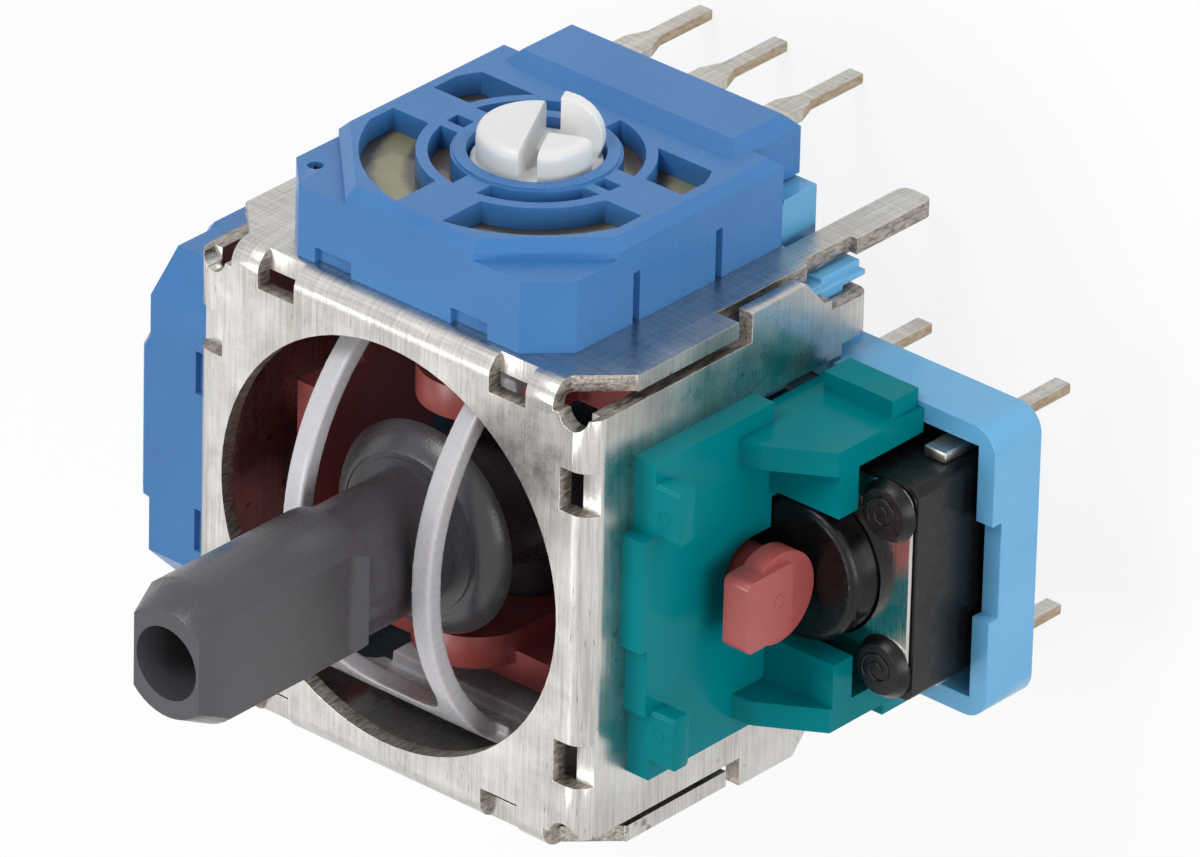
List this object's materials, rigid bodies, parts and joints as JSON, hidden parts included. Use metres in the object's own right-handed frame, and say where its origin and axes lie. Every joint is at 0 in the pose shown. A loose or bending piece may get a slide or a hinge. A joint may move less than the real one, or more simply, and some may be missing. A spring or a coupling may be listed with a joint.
{
  "type": "analog thumbstick module",
  "caption": "Two-axis analog thumbstick module: a flatted stick in a square sheet-metal frame, a rotary sensor on two sides and a push switch on a third, with pins below.",
  "frame": {"origin": "on the axis of the upright stick, in the plane of the base plate's underside, which rests on the circuit board", "axes": "+Z along the upright stick away from the board, +X towards the push switch, +Y towards one rotary sensor; the other sensor is on the -X side"},
  "size_m": [0.0224, 0.0172, 0.0226],
  "materials": {
    "tinned_steel": "satin",
    "light_blue_plastic": "gloss",
    "teal_plastic": "gloss",
    "blue_plastic": "satin",
    "resistive_wafer": "matte",
    "tinned_terminals": "satin",
    "black_plastic": "satin",
    "cover_steel": "satin",
    "spring_steel": "satin",
    "white_plastic": "satin",
    "contact_metal": "satin",
    "red_brown_plastic": "satin",
    "translucent_plastic": "satin",
    "grey_plastic": "satin"
  },
  "bodies": {
    "root": {"frame_shell": "tinned_steel", "base_plate": "light_blue_plastic", "switch_bracket": "teal_plastic", "pot_y_housing": "blue_plastic", "pot_x_housing": "blue_plastic", "pot_y_element": "resistive_wafer", "pot_x_element": "resistive_wafer", "pot_y_terminals": "tinned_terminals", "pot_x_terminals": "tinned_terminals", "switch_housing": "black_plastic", "switch_cover": "cover_steel", "switch_dome": "spring_steel", "switch_terminals": "tinned_terminals", "return_spring": "spring_steel"},
    "x_rotor": {"pot_x_rotor": "white_plastic", "pot_x_wiper": "contact_metal"},
    "rocker": {"rocker": "red_brown_plastic"},
    "stick": {"stick": "grey_plastic"},
    "arch": {"arch": "translucent_plastic", "pot_y_rotor": "white_plastic", "pot_y_wiper": "contact_metal"},
    "plunger": {"switch_plunger": "black_plastic"},
    "cup": {"spring_cup": "white_plastic"}
  },
  "joints": [
    {"name": "tilt_about_x", "type": "hinge", "parent": "root", "child": "x_rotor", "pos_m": [0, 0, 0.00555], "axis": [1, 0, 0], "range_deg": [-20, 20], "stiffness_Nm_per_rad": 0.002},
    {"name": "press", "type": "hinge", "parent": "x_rotor", "child": "rocker", "pos_m": [-0.008, 0, 0.00555], "axis": [0, 1, 0], "range_deg": [0, 1.03], "stiffness_Nm_per_rad": 0.05, "springref_deg": -0.29},
    {"name": "tilt_about_y", "type": "hinge", "parent": "rocker", "child": "stick", "pos_m": [0, 0, 0.00555], "axis": [0, 1, 0], "range_deg": [-20, 20], "stiffness_Nm_per_rad": 0.002},
    {"name": "arch_tilt", "type": "hinge", "parent": "root", "child": "arch", "pos_m": [0, 0, 0.00555], "axis": [0, 1, 0], "range_deg": [-20, 20]},
    {"name": "plunger_stroke", "type": "slide", "parent": "root", "child": "plunger", "axis": [0, 0, -1], "range_m": [0, 0.0003]},
    {"name": "cup_stroke", "type": "slide", "parent": "root", "child": "cup", "axis": [0, 0, -1], "range_m": [0, 0.000145], "deforming": ["return_spring"]}
  ],
  "couplings": [
    {"joint": "arch_tilt", "follows": "tilt_about_y", "ratio": 1},
    {"joint": "plunger_stroke", "follows": "press", "m_per_rad": 0.0166},
    {"joint": "cup_stroke", "follows": "press", "m_per_rad": 0.008}
  ]
}
